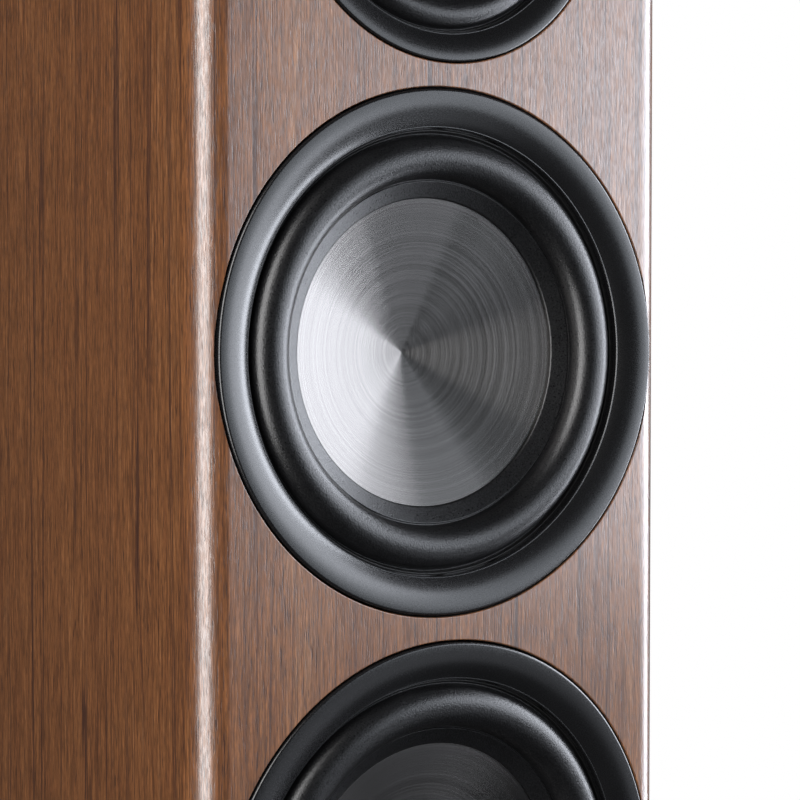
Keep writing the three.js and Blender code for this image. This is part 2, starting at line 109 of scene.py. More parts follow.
def finish_mesh(name, bm, sharp_degrees=32):
    bmesh.ops.recalc_face_normals(bm, faces=bm.faces)
    mesh = bpy.data.meshes.new(name)
    bm.to_mesh(mesh)
    bm.free()
    shade(mesh, sharp_degrees)
    return new_object(name, mesh)


def with_support(profile, margin=0.15 * MM):
    """Adds a point near both ends of each long line, so smooth shading leaves the line flat."""
    points = []
    for (r0, d0), (r1, d1) in zip(profile, profile[1:]):
        points.append((r0, d0))
        length = math.hypot(r1 - r0, d1 - d0)
        if length > 6 * margin:
            share = margin / length
            points.append((r0 + (r1 - r0) * share, d0 + (d1 - d0) * share))
            points.append((r1 - (r1 - r0) * share, d1 - (d1 - d0) * share))
    return [*points, profile[-1]]


def revolve(name, profile, centre, axis="Y", sides=SMOOTH, wave=None, sharp_degrees=32):
    """Revolves (radius, along) points in metres about the axis through centre.

    A profile with both ends on the axis makes a closed body, any other is closed on itself.
    wave(angle, radius, along) may return another radius, for flutes and knurls."""
    bm = bmesh.new()
    rings = []
    for radius, along in with_support(profile):
        count = 1 if radius < 1e-9 else sides
        ring = []
        for i in range(count):
            angle = 2 * math.pi * i / sides
            r = wave(angle, radius, along) if wave else radius
            across = (r * math.cos(angle), r * math.sin(angle))
            if axis == "Y":
                place = Vector((across[0], along, across[1]))
            else:
                place = Vector((across[0], across[1], along))
            ring.append(bm.verts.new(centre + place))
        rings.append(ring)
    on_axis = len(rings[0]) == 1
    pairs = list(zip(rings, rings[1:]))
    if not on_axis:
        pairs.append((rings[-1], rings[0]))
    for a, b in pairs:
        for i in range(sides):
            j = (i + 1) % sides
            corners = [a[i % len(a)], a[j % len(a)], b[j % len(b)], b[i % len(b)]]
            corners = [v for k, v in enumerate(corners) if v is not corners[k - 1]]
            if len(corners) > 2:
                bm.faces.new(corners)
    return finish_mesh(name, bm, sharp_degrees)


def curve_through(points, steps=6):
    """Points on a smooth Catmull-Rom curve through the points given."""
    padded = [Vector(p) for p in (points[0], *points, points[-1])]
    curve = []
    for a, b, c, d in zip(padded, padded[1:], padded[2:], padded[3:]):
        for i in range(steps):
            t = i / steps
            square_term = 2 * a - 5 * b + 4 * c - d
            cube_term = 3 * b - a - 3 * c + d
            curve.append(tuple((2 * b + (c - a) * t + square_term * t**2 + cube_term * t**3) / 2))
    return [*curve, points[-1]]


def arc(centre, radius, start, end, steps=8):
    """Points on a circle's arc, angles in degrees."""
    angles = (math.radians(start + (end - start) * i / steps) for i in range(steps + 1))
    return [(centre[0] + radius * math.cos(a), centre[1] + radius * math.sin(a)) for a in angles]


def sheet_profile(line, thickness):
    """The closed outline of a sheet of even thickness, laid behind the line."""
    back = []
    for i, (r, d) in enumerate(line):
        r0, d0 = line[max(i - 1, 0)]
        r1, d1 = line[min(i + 1, len(line) - 1)]
        length = math.hypot(r1 - r0, d1 - d0)
        back.append((r + (d1 - d0) / length * thickness, d - (r1 - r0) / length * thickness))
    return [*line, *reversed(back)]


def scaled(profile, size):
    return [(r * size * MM, d * size * MM) for r, d in profile]


def prism(name, outline, low, high, axis="Z"):
    """A prism on a closed outline. The outline is in XY for axis Z, or in XZ for axis Y."""
    bm = bmesh.new()
    if axis == "Z":
        rows = [[bm.verts.new((a, b, level)) for a, b in outline] for level in (low, high)]
    else:
        rows = [[bm.verts.new((a, level, b)) for a, b in outline] for level in (low, high)]
    count = len(outline)
    for i in range(count):
        j = (i + 1) % count
        bm.faces.new([rows[0][i], rows[0][j], rows[1][j], rows[1][i]])
    bm.faces.new(rows[0])
    bm.faces.new(rows[1])
    return finish_mesh(name, bm)


def cylinder_outline(centre, radius, sides=SMOOTH):
    return arc(centre, radius, 0, 360, sides)[:-1]


def round_cutter(centre, radius, low, high, axis="Y", sides=FINE):
    return prism("cutter", cylinder_outline(centre, radius, sides), low, high, axis)


def rounded_rectangle(width, height, radius, centre=(0, 0), steps=8):
    x, y = width / 2 - radius, height / 2 - radius
    corners = [((x, y), 0), ((-x, y), 90), ((-x, -y), 180), ((x, -y), 270)]
    return [
        (centre[0] + p[0], centre[1] + p[1])
        for corner, start in corners
        for p in arc(corner, radius, start, start + 90, steps)
    ]


def apply_modifiers(obj):
    graph = bpy.context.evaluated_depsgraph_get()
    mesh = bpy.data.meshes.new_from_object(obj.evaluated_get(graph))
    obj.modifiers.clear()
    obj.data = mesh


def cut(obj, cutters):
    for cutter in cutters:
        boolean = obj.modifiers.new("cut", "BOOLEAN")
        boolean.operation = "DIFFERENCE"
        boolean.solver = "EXACT"
        boolean.object = cutter
    apply_modifiers(obj)
    for cutter in cutters:
        bpy.data.objects.remove(cutter)
    shade(obj.data)


def round_edges(obj, width, segments=3, degrees=40):
    bevel = obj.modifiers.new("round_edges", "BEVEL")
    bevel.width = width
    bevel.segments = segments
    bevel.limit_method = "ANGLE"
    bevel.angle_limit = math.radians(degrees)
    apply_modifiers(obj)
    shade(obj.data)


def flatten_normals(obj):
    """Keeps large flat faces flat in the shading, beside the rounded ones."""
    weighted = obj.modifiers.new("flat_faces", "WEIGHTED_NORMAL")
    weighted.keep_sharp = True
    weighted.weight = 100
    apply_modifiers(obj)


def settle(obj, body, slot, *nodes):
    """The piece rides on the body and stands for the nodes. The slot is not used."""
    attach(obj, body)
    if nodes:
        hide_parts(*nodes)
    return obj


# ---------------------------------------------------------------- material helpers


class Finish:
    """A material being built: a Principled shader and the nodes that feed it."""

    def __init__(self, name, **constants):
        self.material = bpy.data.materials.new(name)
        self.material.use_nodes = True
        self.tree = self.material.node_tree
        self.shader = self.tree.nodes["Principled BSDF"]
        self.set(**constants)

    def set(self, **constants):
        for key, value in constants.items():
            self.shader.inputs[key.replace("_", " ")].default_value = value

    def add(self, kind, inputs=None, **settings):
        node = self.tree.nodes.new("ShaderNode" + kind)
        for key, value in settings.items():
            setattr(node, key, value)
        for key, value in (inputs or {}).items():
            if isinstance(value, bpy.types.NodeSocket):
                self.tree.links.new(value, node.inputs[key])
            else:
                node.inputs[key].default_value = value
        return node

    def place(self, stretch=(1, 1, 1), centre=(0, 0, 0)):
        """The point on the object from centre, stretched."""
        coordinates = self.add("TexCoord").outputs["Object"]
        offset = self.vector("SUBTRACT", coordinates, tuple(centre))
        return self.vector("MULTIPLY", offset, stretch)

    def noise(self, vector, scale=1.0, detail=2.0, roughness=0.5):
        inputs = {"Vector": vector, "Scale": scale, "Detail": detail, "Roughness": roughness}
        return self.add("TexNoise", inputs).outputs["Fac"]

    def remap(self, value, low, high, to_low=0.0, to_high=1.0):
        inputs = {"Value": value, "From Min": low, "From Max": high}
        inputs |= {"To Min": to_low, "To Max": to_high}
        return self.add("MapRange", inputs).outputs["Result"]

    def math(self, operation, a, b=0.0):
        return self.add("Math", {0: a, 1: b}, operation=operation).outputs[0]

    def weigh(self, a, share_of_a, b):
        """A mean of two values, where a has this share and b the rest."""
        part_a = self.math("MULTIPLY", a, share_of_a)
        return self.math("ADD", part_a, self.math("MULTIPLY", b, 1 - share_of_a))

    def vector(self, operation, a, b=(0, 0, 0)):
        return self.add("VectorMath", {0: a, 1: b}, operation=operation).outputs[0]

    def length(self, vector):
        return self.add("VectorMath", {0: vector}, operation="LENGTH").outputs["Value"]

    def ramp(self, value, stops):
        node = self.add("ValToRGB", {"Fac": value})
        elements = node.color_ramp.elements
        while len(elements) < len(stops):
            elements.new(1.0)
        for element, (position, color) in zip(elements, stops):
            element.position = position
            element.color = (*color, 1)
        return node.outputs["Color"]

    def mix(self, factor, a, b, blend_type="MIX"):
        node = self.add("Mix", data_type="RGBA", blend_type=blend_type)
        for index, value in ((0, factor), (6, a), (7, b)):
            if isinstance(value, bpy.types.NodeSocket):
                self.tree.links.new(value, node.inputs[index])
            elif index:
                node.inputs[index].default_value = (*value, 1)
            else:
                node.inputs[index].default_value = value
        return node.outputs[2]

    def feed(self, socket, value):
        self.tree.links.new(value, self.shader.inputs[socket])

    def bump(self, height, distance, strength=1.0, under=None):
        inputs = {"Height": height, "Distance": distance, "Strength": strength}
        if under is not None:
            inputs["Normal"] = under
        return self.add("Bump", inputs).outputs["Normal"]


def coat(obj, finish):
    obj.data.materials.clear()
    obj.data.materials.append(finish.material)
    return obj


# ---------------------------------------------------------------- materials


def walnut(name, along="Z"):
    """Straight-grained walnut veneer under satin lacquer. The grain runs along Z or Y."""
    finish = Finish(name, Coat_Weight=1.0, Coat_Roughness=0.26, Specular_IOR_Level=0.3)

    def stretch(across, lengthways):
        return (across, across, lengthways) if along == "Z" else (across, lengthways, across)

    def wander(across, lengthways, reach):
        """A sideways shift of the grain, reach metres at most."""
        bend = finish.noise(finish.place(stretch(across, lengthways)), detail=1.0)
        return finish.math("MULTIPLY", finish.math("SUBTRACT", bend, 0.5), reach)

    shift = finish.math("ADD", wander(5, 1.5, 0.02), wander(60, 12, 0.002))
    axes = {"X": shift, "Y": shift} if along == "Z" else {"X": shift}
    moved = finish.add("CombineXYZ", axes).outputs[0]
    bent = finish.vector("ADD", finish.place(), moved)

    def grain(across, lengthways, detail=2.0, roughness=0.5):
        point = finish.vector("MULTIPLY", bent, stretch(across, lengthways))
        return finish.noise(point, detail=detail, roughness=roughness)

    bands = grain(45, 0.7, 2.0, 0.6)
    streaks = grain(900, 25, 3.0, 0.65)
    threads = grain(1700, 70, 1.0)
    fibres = grain(1900, 260, 2.0, 0.6)
    pores = grain(2000, 110, 1.0)
    flecks = grain(1700, 240, 1.0)
    figure = grain(200, 1.0, 1.0, 0.4)
    strength = grain(90, 2.5, 1.0)

    def shades(value, dark, light):
        """A grey that multiplies the wood, darker where the value is low."""
        return finish.ramp(finish.remap(value, 0.3, 0.7), [(0, (dark,) * 3), (1, (light,) * 3)])

    wood = finish.ramp(finish.weigh(bands, 0.35, streaks), [
        (0.32, (0.115, 0.042, 0.016)),
        (0.44, (0.165, 0.062, 0.022)),
        (0.56, (0.220, 0.087, 0.030)),
        (0.68, (0.275, 0.127, 0.056)),
    ])
    wood = finish.mix(1.0, wood, shades(threads, 0.64, 1.40), "MULTIPLY")
    wood = finish.mix(1.0, wood, shades(fibres, 0.75, 1.22), "MULTIPLY")
    off_line = finish.math("ABSOLUTE", finish.math("SUBTRACT", figure, 0.5))
    line_depth = finish.remap(strength, 0.35, 0.6, 0.15, 0.75)
    line_mask = finish.math("MULTIPLY", finish.remap(off_line, 0.008, 0.036, 1.0, 0.0), line_depth)
    wood = finish.mix(line_mask, wood, (0.032, 0.013, 0.012))
    pore_mask = finish.remap(pores, 0.6, 0.68, 0.0, 0.75)
    wood = finish.mix(pore_mask, wood, (0.030, 0.012, 0.009))
    finish.feed("Base Color", wood)
    finish.feed("Roughness", finish.remap(fibres, 0.2, 0.8, 0.5, 0.36))
    finish.feed("Coat IOR", finish.remap(flecks, 0.4, 0.65, 1.7, 2.05))  # pale flecks in the sheen

    hollows = finish.math("ADD", pore_mask, finish.math("MULTIPLY", line_mask, 0.4))
    ridges = finish.math("ADD", finish.math("MULTIPLY", fibres, 0.5), threads)
    surface = finish.math("SUBTRACT", ridges, hollows)
    finish.feed("Normal", finish.bump(surface, 0.06 * MM, 0.8))
    finish.feed("Coat Normal", finish.bump(surface, 0.03 * MM, 0.8))
    return finish


def painted(name, color, roughness, grain_size=0.35, depth=0.02, variation=0.25):
    """A satin black finish with a fine even texture. Sizes in millimetres."""
    finish = Finish(name, IOR=1.68)
    texture = finish.noise(finish.place(), 1000 / grain_size, detail=2.0)
    cloud = finish.noise(finish.place(), 22, detail=3.0)
    dark = tuple(c * (1 - variation) for c in color)
    light = tuple(c * (1 + variation) for c in color)
    finish.feed("Base Color", finish.ramp(finish.remap(cloud, 0.3, 0.7), [(0, dark), (1, light)]))
    finish.feed("Roughness", finish.remap(texture, 0.3, 0.7, roughness - 0.05, roughness + 0.05))
    finish.feed("Normal", finish.bump(texture, depth * MM, 0.6))
    return finish


def brushed_round(name, color, centre, roughness, axis="Y", line_size=0.4, anisotropy=0.8):
    """Metal brushed in circles about the axis through centre, line width in millimetres."""
    finish = Finish(name, Metallic=1.0, Anisotropic=anisotropy, Anisotropic_Rotation=0.25)
    flat = (1, 0, 1) if axis == "Y" else (1, 1, 0)
    out = finish.place(flat, centre)
    distance = finish.length(out)
    turn = finish.vector("MULTIPLY", finish.vector("NORMALIZE", out), (0.35,) * 3)

    def grooves(width):
        """Rings of this width, each one changing slowly round the circle."""
        radial = finish.math("MULTIPLY", distance, 1000 / width)
        shift = finish.add("CombineXYZ", {"X": radial, "Y": radial, "Z": radial}).outputs[0]
        return finish.noise(finish.vector("ADD", turn, shift), 1.0, detail=0.0)

    fine, wide = grooves(line_size), grooves(line_size * 3)
    dark = tuple(c * 0.84 for c in color)
    light = tuple(min(1.0, c * 1.1) for c in color)
    tone = finish.remap(finish.weigh(fine, 0.65, wide), 0.3, 0.7)
    finish.feed("Base Color", finish.ramp(tone, [(0, dark), (1, light)]))
    finish.feed("Roughness", finish.remap(wide, 0.3, 0.7, roughness - 0.02, roughness + 0.02))
    finish.feed("Normal", finish.bump(wide, 0.0015 * MM, 0.5))
    along_axis = (0, 1, 0) if axis == "Y" else (0, 0, 1)
    finish.feed("Tangent", finish.vector("CROSS_PRODUCT", out, along_axis))
    return finish


def rubber(name, color=(0.005, 0.005, 0.0055), roughness=0.33):
    """Butyl rubber with a leathery micro texture."""
    finish = Finish(name, IOR=1.6)
    grain = finish.noise(finish.place(), 1400, detail=2.0)
    cloud = finish.noise(finish.place(), 60, detail=2.0)
    dark = tuple(c * 0.75 for c in color)
    light = tuple(c * 1.3 for c in color)
    finish.feed("Base Color", finish.ramp(finish.remap(cloud, 0.3, 0.7), [(0, dark), (1, light)]))
    finish.feed("Roughness", finish.remap(grain, 0.3, 0.7, roughness - 0.06, roughness + 0.06))
    finish.feed("Specular IOR Level", finish.remap(grain, 0.35, 0.65, 0.4, 0.65))
    finish.feed("Normal", finish.bump(grain, 0.11 * MM, 1.0))
    return finish


def woven(name, color, thread=0.4, roughness=0.8):
    """Cloth of crossed threads, thread width in millimetres."""
    finish = Finish(name, Sheen_Weight=0.3, Sheen_Roughness=0.4)
    point = finish.place((1000 / thread,) * 3)
    parts = finish.add("SeparateXYZ", {"Vector": point}).outputs
    warp = finish.math("SINE", finish.math("MULTIPLY", parts["X"], math.pi))
    weft = finish.math("SINE", finish.math("MULTIPLY", parts["Z"], math.pi))
    weave = finish.math("MULTIPLY", warp, weft)
    fuzz = finish.noise(finish.place(), 900, detail=3.0)
    height = finish.math("ADD", weave, fuzz)
    dark = tuple(c * 0.6 for c in color)
    light = tuple(c * 1.35 for c in color)
    # darker where the weave dips, as painted shade, with random fuzz on top
    finish.feed("Base Color", finish.ramp(finish.remap(height, -0.6, 1.4), [(0, dark), (1, light)]))
    finish.feed("Roughness", finish.remap(fuzz, 0.3, 0.7, roughness - 0.08, roughness + 0.08))
    finish.feed("Normal", finish.bump(height, 0.06 * MM, 0.8))
    return finish


def metal(name, color, roughness, grain_size=1.5, depth=0.03):
    """Cast or machined metal with a light grain."""
    finish = Finish(name, Metallic=1.0)
    grain = finish.noise(finish.place(), 1000 / grain_size, detail=4.0, roughness=0.6)
    dark = tuple(c * 0.8 for c in color)
    light = tuple(min(1.0, c * 1.15) for c in color)
    finish.feed("Base Color", finish.ramp(finish.remap(grain, 0.3, 0.7), [(0, dark), (1, light)]))
    finish.feed("Roughness", finish.remap(grain, 0.3, 0.7, roughness - 0.07, roughness + 0.07))
    finish.feed("Normal", finish.bump(grain, depth * MM, 0.5))
    return finish


def fibreboard(name, color=(0.42, 0.29, 0.17)):
    finish = Finish(name)
    chips = finish.noise(finish.place(), 900, detail=5.0, roughness=0.7)
    dark = tuple(c * 0.7 for c in color)
    light = tuple(c * 1.25 for c in color)
    finish.feed("Base Color", finish.ramp(finish.remap(chips, 0.3, 0.7), [(0, dark), (1, light)]))
    finish.feed("Roughness", finish.remap(chips, 0.3, 0.7, 0.78, 0.95))
    finish.feed("Normal", finish.bump(chips, 0.08 * MM, 0.7))
    return finish


def winding(name, color=(0.55, 0.22, 0.09), pitch=0.9):
    """Enamelled copper wire wound in layers, wire pitch in millimetres."""
    finish = Finish(name, Metallic=1.0, Coat_Weight=0.6, Coat_Roughness=0.15)
    point = finish.place((1000 / pitch,) * 3)
    parts = finish.add("SeparateXYZ", {"Vector": point}).outputs
    wave = finish.math("SINE", finish.math("MULTIPLY", parts["Z"], math.pi))
    turns = finish.math("ABSOLUTE", wave)
    spots = finish.noise(finish.place(), 300, detail=2.0)
    dark = tuple(c * 0.45 for c in color)
    # darker in the grooves between the wire turns: painted shade
    finish.feed("Base Color", finish.ramp(turns, [(0, dark), (0.6, color)]))
    finish.feed("Roughness", finish.remap(spots, 0.3, 0.7, 0.22, 0.36))
    finish.feed("Normal", finish.bump(turns, 0.3 * MM, 0.8))
    return finish


# ---------------------------------------------------------------- cabinet


# Radius and depth of a recess, then the radius of the hole behind it, in millimetres.
TWEETER_RECESS = (52.4, 4.8, 38)
CONE_DRIVER_RECESS = (115.3, 12, 98)  # at the woofer's size
PORT_HOLE_RADIUS = 47.3 * MM
PLATE_WIDTH = 110 * MM
PLATE_HEIGHT = 80 * MM
PLATE_CORNER = 6 * MM
PLATE_THICKNESS = 3 * MM
GAP = 0.3 * MM


def full_outline():
    """Plan of the cabinet, with its round front corners."""
    x, r = side_x, CORNER_RADIUS
    left = arc((-x + r, front_y + r), r, 180, 270, 24)
    right = arc((x - r, front_y + r), r, 270, 360, 24)
    return [(-x, rear_y), *left, *right, (x, rear_y)]


def wrap_outline():
    """Plan of the veneered sides and front, with the cabinet's inside left out."""
    x, baffle_back = side_x - WALL, front_y + BAFFLE
    inside = [(x, rear_y), (x, baffle_back), (-x, baffle_back), (-x, rear_y)]
    return [*full_outline(), *inside]


def driver_cutter(centre, unit, radius, depth, hole_radius):
    """Cuts the recess for a driver's rim, with a rounded edge, and the hole through its floor."""
    radius, depth, hole_radius = radius * unit, depth * unit, hole_radius * unit
    mouth, back = radius + RECESS_EDGE, BAFFLE + CLEAR
    hole = [(0, back), (hole_radius, back), (hole_radius, depth)]
    edge = arc((mouth, RECESS_EDGE), RECESS_EDGE, 180, 270, 5)
    return revolve("cutter", [*hole, (radius, depth), *edge, (mouth, -CLEAR), (0, -CLEAR)], centre)


def make_wrap(veneer, black):
    """The veneered sides and front in one piece, black in each recess that was cut, as painted
    shade.
    """
    wrap = prism("cabinet_wrap", wrap_outline(), cabinet_low_z + SKIN, cabinet_high_z - SKIN)
    cutters = [driver_cutter(tweeter_centre, MM, *TWEETER_RECESS)]
    for name in CONE_DRIVERS:
        unit = driver_size(name) * MM
        cutters.append(driver_cutter(driver_centre(name), unit, *CONE_DRIVER_RECESS))
    cut(wrap, cutters)
    flatten_normals(wrap)
    coat(wrap, veneer)
    wrap.data.materials.append(black.material)
    # faces in the recesses take the black: painted shade in the gap round each driver's rim
    for face in wrap.data.polygons:
        c = face.center
        behind_face = c.y > front_y + RECESS_EDGE
        past_axis = (abs(c.x) - side_x + CORNER_RADIUS, c.y - front_y - CORNER_RADIUS)
        near_arc = abs(math.hypot(*past_axis) - CORNER_RADIUS) < 0.4 * MM
        on_corner = c.y < front_y + CORNER_RADIUS and near_arc
        on_side_or_rear = abs(c.x) > side_x - 1 * MM or c.y > rear_y - 1 * MM
        face.material_index = 1 if behind_face and not on_corner and not on_side_or_rear else 0
    settle(wrap, "cabinet", "walnut_veneer", "front_baffle", "side_panel_left", "side_panel_right")


def make_cabinet():
    veneer = walnut("walnut_veneer")
    # black paint for the underside, also used as painted shade inside the driver recesses
    black = painted("underside_black_and_recess_shade", (0.006, 0.006, 0.006), 0.7)
    make_wrap(veneer, black)

    joint = 0.05 * MM
    top = prism("cabinet_top", full_outline(), cabinet_high_z - SKIN + joint, cabinet_high_z)
    round_edges(top, 1.0 * MM)
    flatten_normals(top)
    settle(coat(top, walnut("walnut_top", "Y")), "cabinet", "walnut_veneer", "top_panel")

    bottom = prism("cabinet_bottom", full_outline(), cabinet_low_z, cabinet_low_z + SKIN - joint)
    settle(coat(bottom, black), "cabinet", "walnut_veneer", "bottom_panel")
    make_back(veneer)


def plate_outline(margin=0.0):
    """Outline of the terminal plate, or of its recess with this margin."""
    place = middle("terminal_plate")
    width, height = PLATE_WIDTH + 2 * margin, PLATE_HEIGHT + 2 * margin
    return rounded_rectangle(width, height, PLATE_CORNER + margin, (place.x, place.z))


def make_back(veneer):
    """The rear panel between the sides, with its port holes and the terminal plate's recess."""
    half = side_x - WALL - 0.15 * MM
    low, high = cabinet_low_z + SKIN, cabinet_high_z - SKIN
    outline = [(-half, low), (half, low), (half, high), (-half, high)]
    inner_face = rear_y - WALL
    back = prism("cabinet_back", outline, inner_face, rear_y, "Y")
    through = (inner_face - CLEAR, rear_y + CLEAR)
    cutters = []
    for port in ("port_upper", "port_lower"):
        place = (0, middle(port).z)
        cutters.append(round_cutter(place, PORT_HOLE_RADIUS, *through, sides=SMOOTH))
    recess_back = rear_y - PLATE_THICKNESS - GAP
    cutters.append(prism("cutter", plate_outline(GAP), recess_back, rear_y + CLEAR, "Y"))
    plate = middle("terminal_plate")
    opening = rounded_rectangle(80 * MM, 50 * MM, 4 * MM, (plate.x, plate.z))
    cutters.append(prism("cutter", opening, inner_face - CLEAR, rear_y, "Y"))
    cut(back, cutters)
    flatten_normals(back)
    settle(coat(back, veneer), "cabinet", "walnut_veneer", "rear_panel")


# ---------------------------------------------------------------- cone drivers

# Profiles are (radius, depth behind the baffle's front) in millimetres at the woofer's size.


def ring_profile():
    """Nearly flat at the outer edge, rolling inwards to a crisp edge, then straight back."""
    bend = 25.6
    crown = arc((112.7, bend - 0.7), bend, -90 + 1, -90 - 34, 18)
    rim = arc((113.2, 0.5), 1.2, 0, -85, 8)
    edge = arc((98.55, 4.3), 0.75, -90 - 34, -180, 5)
    return [(114.4, 6.7), *rim, *crown, *edge, (97.8, 6.7)]


def gasket_profile():
    bead = arc((96.75, 7.05), 0.28, 0, -180, 8)
    return [(97.4, 8.6), (97.4, 7.2), *bead, (96.2, 8.3), (95.9, 8.6)]


def surround_profile():
    """Lip bead, half roll, crease, then the flange glued over the cone's edge."""
    start, end, height, steps = (94.95, 8.5), (76.1, 10.5), 8.3, 40
    chord = Vector(end) - Vector(start)
    up = Vector((chord.y, -chord.x)).normalized()
    if up.y > 0:
        up.negate()
    roll = []
    for i in range(1, steps):
        turn = math.pi * i / steps
        along = Vector(start) + chord * ((1 - math.cos(turn)) / 2)
        point = along + up * height * math.sin(turn) ** 0.92
        roll.append(tuple(point))
    bead = arc((95.45, 8.35), 0.3, 30, -150, 8)
    crease = [(76.0, 11.0), (75.8, 11.3), (75.5, 11.35), (75.2, 11.1), (75.0, 10.85)]
    flange = [(74.8, 10.85), (68.3, 14.05)]
    edge = [(67.95, 14.3), (67.75, 14.55), (67.7, 14.8)]
    line = [*bead, *roll, *crease, *flange, *edge]
    back = [(67.7, 15.5), (75.9, 12.0), (77.2, 10.2), (79, 5.6), (82, 3.2), (85.7, 2.1)]
    back += [(89.5, 2.7), (92.5, 5.2), (94.6, 8.9)]
    return [*line, *back]


def cone_profile():
    apex, edge = 36.2, (67.6, 15.55)
    front = [(edge[0] * i / 24, apex - (apex - edge[1]) * i / 24) for i in range(25)]
    front[0] = (0, apex - 0.05)
    rim = [(67.9, 15.6), (68.2, 15.65), (75.4, 12.2), (75.4, 13.1), (68.2, 16.9)]
    return [*front, *rim, (0, 37.6)]


def make_cone_driver(name, trim, gasket_foam, roll_rubber):
    centre, size, body = driver_centre(name), driver_size(name), name + "_diaphragm"
    ring = revolve(name + "_ring", scaled(ring_profile(), size), centre)
    settle(coat(ring, trim), "cabinet", "driver_trim", name + "_trim_ring")
    gasket = revolve(name + "_gasket", scaled(gasket_profile(), size), centre)
    settle(coat(gasket, gasket_foam), "cabinet", "driver_trim")
    cone = revolve(name + "_dish", scaled(cone_profile(), size), centre, sides=256)
    grey = (0.205, 0.197, 0.191)
    aluminium = brushed_round(name + "_aluminium", grey, centre, 0.237, anisotropy=1.0)
    settle(coat(cone, aluminium), body, "cone_aluminium", name + "_cone")
    make_surround(name, centre, size, roll_rubber)


def make_surround(name, centre, size, roll_rubber):
    roll = revolve(name + "_roll", scaled(surround_profile(), size), centre)
    coat(roll, roll_rubber)
    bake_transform(roll)
    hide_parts(name + "_surround")


# ---------------------------------------------------------------- tweeter


def make_tweeter(trim):
    centre = tweeter_centre
    rim = arc((51.1, 0.6), 0.6, 0, -90, 5)
    horn = curve_through([(36, 0), (31, 0.45), (26, 1.4), (22, 2.7), (19.6, 4.1)])
    plate = revolve("tweeter_plate", scaled([(51.7, 4.5), *rim, *horn, (19.5, 4.5)], 1), centre)
    settle(coat(plate, trim), "cabinet", "driver_trim", "tweeter_faceplate")

    silk = woven("dome_silk", (0.022, 0.022, 0.024), 0.16, 0.5)
    depth, rim_radius = 4.4, 14
    sphere = (rim_radius**2 + depth**2) / (2 * depth)
    half_angle = math.asin(rim_radius / sphere)
    turns = [half_angle * i / 24 for i in range(25)]
    outside = [(sphere * math.sin(t), -0.2 + sphere * (1 - math.cos(t))) for t in turns]
    inside = [(r * 0.955, d + 0.6) for r, d in reversed(outside)]
    former = [(14, 11), (13.4, 11)]
    dome = revolve("tweeter_cap", scaled([*outside, *former, *inside], 1), centre, sides=FINE)
    settle(coat(dome, silk), "tweeter_diaphragm", "dome_cloth", "tweeter_dome")

    half_roll = [(14.3, 4.1), (14.9, 3.1), (16.3, 2.5), (17.7, 3.1), (18.3, 4.1), (19.2, 4.2)]
    sheet = sheet_profile(curve_through(half_roll), -0.45)
    roll = revolve("tweeter_roll", scaled(sheet, 1), centre, sides=FINE)
    coat(roll, silk)
    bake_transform(roll)
    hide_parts("tweeter_surround")


# ---------------------------------------------------------------- plinth and feet


FEET = ("front_left", "front_right", "rear_left", "rear_right")


def make_plinth():
    low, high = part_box("plinth")
    outline = rounded_rectangle(high.x - low.x, high.y - low.y, 22 * MM, steps=16)
    board = prism("plinth_board", outline, low.z, high.z)
    holes = []
    for place in FEET:
        foot = middle("foot_" + place)
        holes.append(round_cutter((foot.x, foot.y), 5.6 * MM, low.z - CLEAR, high.z - 1 * MM, "Z"))
    cut(board, holes)
    round_edges(board, 2 * MM, 4)
    flatten_normals(board)
    lacquer = painted("plinth_lacquer", (0.014, 0.014, 0.015), 0.3, grain_size=2.5, depth=0.008)
    lacquer.set(Coat_Weight=0.5, Coat_Roughness=0.12)
    settle(coat(board, lacquer), "cabinet", "plinth_lacquer", "plinth")


def make_feet():
    steel = metal("foot_steel", (0.50, 0.50, 0.51), 0.28, grain_size=0.8, depth=0.01)
    pad_rubber = rubber("foot_pad_rubber")
    for place in FEET:
        centre = middle("foot_" + place)
        centre.z = 0

        def knurl(angle, radius, along):
            if 2.6 * MM < along < 6.6 * MM and radius > 18 * MM:
                return radius - 0.35 * MM * abs(math.sin(angle * 36))
            return radius

        profile = [
            (0, 1.6), (17.5, 1.6), (18.6, 1.6), (19.2, 1.9), (19.5, 2.2), (19.5, 2.6),
            (19.9, 2.8), (19.9, 6.4), (19.5, 6.6), (19.5, 7.0), (19.1, 7.5), (18.5, 7.8),
            (12, 8.2), (8.4, 9.2), (7.6, 9.8), (5, 10), (5, 39), (0, 39),
        ]
        name = "foot_" + place
        foot = revolve(name + "_turned", scaled(profile, 1), centre, "Z", 288, knurl)
        settle(coat(foot, steel), name, "foot_steel", name)
        pad_profile = [(0, 0), (17.2, 0), (17.8, 0.4), (17.8, 1.55), (0, 1.55)]
        pad = revolve(name + "_pad", scaled(pad_profile, 1), centre, "Z")
        settle(coat(pad, pad_rubber), name, "surround_rubber")
        hexagon = cylinder_outline((centre.x, centre.y), 8.6 * MM, 6)
        nut = prism(name + "_locknut", hexagon, 12.2 * MM, 16.8 * MM)
        cut(nut, [round_cutter((centre.x, centre.y), 5.2 * MM, 10 * MM, 20 * MM, "Z")])
        round_edges(nut, 0.5 * MM, 2)
        settle(coat(nut, steel), "cabinet", "foot_steel")


# ---------------------------------------------------------------- rear panel fittings


def port_profile():
    inner, mouth, flare = 34, 3, 12
    mouth_curve = arc((inner + flare, mouth - flare), flare, 90, 180, 16)
    lip = arc((inner + 18.6, mouth - 1.4), 1.4, 0, 90, 5)
    outside = [(37, -140), (37, -12), (46.5, -4), (46.5, 0.2), (54, 0.2)]
    return [*lip, *mouth_curve, (inner, -70), (inner, -140), *outside]


def make_ports():
    plastic = painted("port_plastic", (0.018, 0.018, 0.019), 0.42, grain_size=0.5, depth=0.03)
    for name in ("port_upper", "port_lower"):
        centre = Vector((0, rear_y, middle(name).z))
        tube = revolve(name + "_tube", scaled(port_profile(), 1), centre, sides=128)
        settle(coat(tube, plastic), "cabinet", "port_plastic", name)


